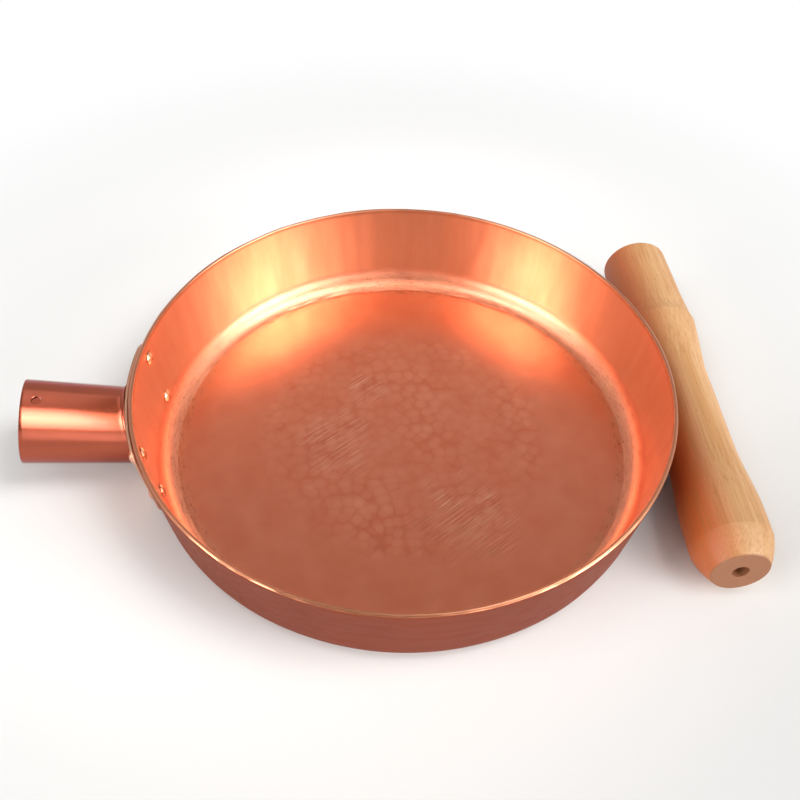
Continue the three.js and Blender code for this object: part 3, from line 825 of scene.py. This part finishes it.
# White table in a pale room, darker overhead. On each side of the camera stand a foot, a cream, a middle
# and a head lamp, with a glow between them, and three small lamps light the tube alone.
stageLooks = {
    "floor": "#DEDDDB", "floorRough": 0.9, "floorShine": 0.1, "floorDrop": 0.2,  # millimetres under the pan
    "floorSize": 12.0, "paperTo": 0.16, "whiteFrom": 0.36,  # metres, the last two from the middle
    "room": "#FFFFFF", "frontEdge": -0.5, "backEdge": 0.1,  # the room's front fades into its back
    "backLow": 0.7, "backHigh": 0.33, "backFrom": 0.55, "backTo": 0.88,  # from and to: sines of the height
    "frontLow": 1.07, "frontHigh": 0.15, "frontFrom": 0.3, "frontTo": 0.5,
}
panAim = (0, 0, 0)
tubeAim = (-145, 0, 35)
backLeft = (-75, 70, 20)
backRight = (75, 70, 20)
wallLeft = (-60, 105, 35)
wallRight = (70, 100, 35)
softLights = {  # level is how much brighter than white paper the face is, grid how far out it shines
    "footRight": {"aim": panAim, "turn": -32, "height": 20, "far": 1150,
                  "wide": 1100, "tall": 460, "level": 11.4, "grid": 26},
    "footLeft": {"aim": panAim, "turn": -153, "height": 20, "far": 1150,
                 "wide": 900, "tall": 460, "level": 12.5, "grid": 23},
    "creamRight": {"aim": wallLeft, "turn": -43, "height": 17, "far": 600,
                   "wide": 800, "tall": 260, "level": 5.9, "grid": 36},
    "creamLeft": {"aim": wallRight, "turn": -150, "height": 17, "far": 600,
                  "wide": 300, "tall": 240, "level": 5.0, "grid": 24},
    "midRight": {"aim": backLeft, "turn": -20, "height": 43, "far": 600,
                 "wide": 260, "tall": 260, "level": 8.4, "grid": 20},
    "midLeft": {"aim": backRight, "turn": -165, "height": 43, "far": 600,
                "wide": 220, "tall": 240, "level": 7.0, "grid": 20},
    "headRight": {"aim": backLeft, "turn": -25, "height": 60, "far": 600,
                  "wide": 440, "tall": 310, "level": 14.5, "grid": 21},
    "headLeft": {"aim": backRight, "turn": -158, "height": 60, "far": 600,
                 "wide": 220, "tall": 200, "level": 13.5, "grid": 18},
    "gapGlow": {"aim": panAim, "turn": -92, "height": 62, "far": 1150,
                "wide": 520, "tall": 420, "level": 1.25, "grid": 40},
    "tubeBox": {"aim": tubeAim, "turn": -89, "height": 58, "far": 330, "only": "tube_socket",
                "wide": 100, "tall": 340, "level": 12.5, "grid": 38},
    "tubeTop": {"aim": tubeAim, "turn": -89, "height": 115, "far": 330, "only": "tube_socket",
                "wide": 100, "tall": 330, "level": 1.2, "grid": 45},
    "tubeFoot": {"aim": tubeAim, "turn": -89, "height": 15, "far": 330, "only": "tube_socket",
                 "wide": 100, "tall": 180, "level": 1.2, "grid": 50},
}


def whitePaper():  # lit paper near the pan, plain white further off
    material, tree = newMaterial("white paper")
    paper = addNode(tree, "ShaderNodeBsdfPrincipled", {
        "Base Color": toLinear(stageLooks["floor"]), "Roughness": stageLooks["floorRough"],
        "Specular IOR Level": stageLooks["floorShine"]})
    white = addNode(tree, "ShaderNodeEmission", {"Strength": 1.0})
    coords = addNode(tree, "ShaderNodeTexCoord").outputs["Object"]
    away = addNode(tree, "ShaderNodeVectorMath", {0: coords}, operation="LENGTH")
    farShare = addNode(tree, "ShaderNodeMapRange", {
        "Value": away.outputs["Value"],
        "From Min": stageLooks["paperTo"], "From Max": stageLooks["whiteFrom"]},
        interpolation_type="SMOOTHSTEP")
    path = addNode(tree, "ShaderNodeLightPath").outputs
    seen = path["Is Camera Ray"]
    for ray in ("Is Glossy Ray", "Is Transmission Ray"):
        seen = addNode(tree, "ShaderNodeMath", {0: seen, 1: path[ray]}, operation="MAXIMUM").outputs["Value"]
    share = addNode(tree, "ShaderNodeMath", {0: seen, 1: farShare.outputs["Result"]}, operation="MULTIPLY")
    shader = addNode(tree, "ShaderNodeMixShader", {
        0: share.outputs["Value"], 1: paper.outputs["BSDF"], 2: white.outputs["Emission"]})
    addNode(tree, "ShaderNodeOutputMaterial", {"Surface": shader.outputs["Shader"]})
    return material


def makeTable():
    bm = bmesh.new()
    bmesh.ops.create_grid(bm, x_segments=1, y_segments=1, size=stageLooks["floorSize"] / 2)
    bmesh.ops.translate(bm, verts=bm.verts[:], vec=(0, 0, -stageLooks["floorDrop"] * mm))
    table = addObject("table", bm)
    table.data.materials.append(whitePaper())
    print("table laid")


def makeLights():
    for name, light in softLights.items():
        turn, height, grid = (math.radians(light[key]) for key in ("turn", "height", "grid"))
        lamp = bpy.data.lights.new(name, "AREA")
        lamp.shape = "RECTANGLE"
        lamp.size, lamp.size_y = light["wide"] * mm, light["tall"] * mm
        lamp.spread = 2 * grid
        spared = 1 - grid / math.tan(grid)  # a grid gathers the power towards the middle
        lamp.energy = light["level"] * math.pi * lamp.size * lamp.size_y * spared
        flat = math.cos(height)
        back = Vector((math.cos(turn) * flat, math.sin(turn) * flat, math.sin(height)))
        holder = bpy.data.objects.new(name, lamp)
        holder.location = (Vector(light["aim"]) + back * light["far"]) * mm
        holder.rotation_mode = "QUATERNION"
        holder.rotation_quaternion = back.to_track_quat("Z", "Y")
        holder.visible_camera = False
        bpy.context.scene.collection.objects.link(holder)
        if "only" in light:  # flags keep this lamp off everything but one piece
            reach = bpy.data.collections.new(name)
            reach.objects.link(bpy.data.objects[light["only"]])
            holder.light_linking.receiver_collection = reach
    print("lamps set:", len(softLights))


def makeRoom():
    world = bpy.data.worlds.new("studio")
    bpy.context.scene.world = world
    world.use_nodes = True
    tree = world.node_tree
    tree.nodes.clear()
    coords = addNode(tree, "ShaderNodeTexCoord").outputs["Generated"]
    direction = addNode(tree, "ShaderNodeSeparateXYZ", {"Vector": coords})
    levels = {}
    for side in ("front", "back"):
        levels[side] = addNode(tree, "ShaderNodeMapRange", {
            "Value": direction.outputs["Z"],
            "From Min": stageLooks[side + "From"], "From Max": stageLooks[side + "To"],
            "To Min": stageLooks[side + "Low"], "To Max": stageLooks[side + "High"]},
            interpolation_type="SMOOTHSTEP").outputs["Result"]
    backShare = addNode(tree, "ShaderNodeMapRange", {
        "Value": direction.outputs["Y"],
        "From Min": stageLooks["frontEdge"], "From Max": stageLooks["backEdge"]},
        interpolation_type="SMOOTHSTEP")
    strength = addNode(tree, "ShaderNodeMix", {
        0: backShare.outputs["Result"], 2: levels["front"], 3: levels["back"]})
    room = addNode(tree, "ShaderNodeBackground", {
        "Color": toLinear(stageLooks["room"]), "Strength": strength.outputs[0]})
    addNode(tree, "ShaderNodeOutputWorld", {"Surface": room.outputs["Background"]})
    print("room lit")


makeTable()
makeLights()
makeRoom()


# The camera, at the photograph's place and angle
view = {
    "place": (-43.1, -314.7, 385.4), "heading": 7.518, "tilt": 48.218, "roll": -2.116,
    "lens": 47.51, "sensor": 36, "clipNear": 0.01, "clipFar": 50,  # the clips in metres
}


def makeCamera():
    heading, tilt, roll = (math.radians(view[key]) for key in ("heading", "tilt", "roll"))
    ahead = Vector((math.sin(heading) * math.cos(tilt), math.cos(heading) * math.cos(tilt), -math.sin(tilt)))
    level = ahead.cross(Vector((0, 0, 1))).normalized()
    down = ahead.cross(level)
    right = math.cos(roll) * level + math.sin(roll) * down
    up = math.sin(roll) * level - math.cos(roll) * down
    lens = bpy.data.cameras.new("camera")
    lens.sensor_width = view["sensor"]
    lens.lens = view["lens"]
    lens.clip_start, lens.clip_end = view["clipNear"], view["clipFar"]
    camera = bpy.data.objects.new("camera", lens)
    turn = Matrix((right, up, -ahead)).transposed().to_4x4()
    camera.matrix_world = Matrix.Translation(Vector(view["place"]) * mm) @ turn
    bpy.context.scene.collection.objects.link(camera)
    bpy.context.scene.camera = camera
    print("camera placed")


makeCamera()
bpy.context.scene.view_settings.view_transform = "Standard"
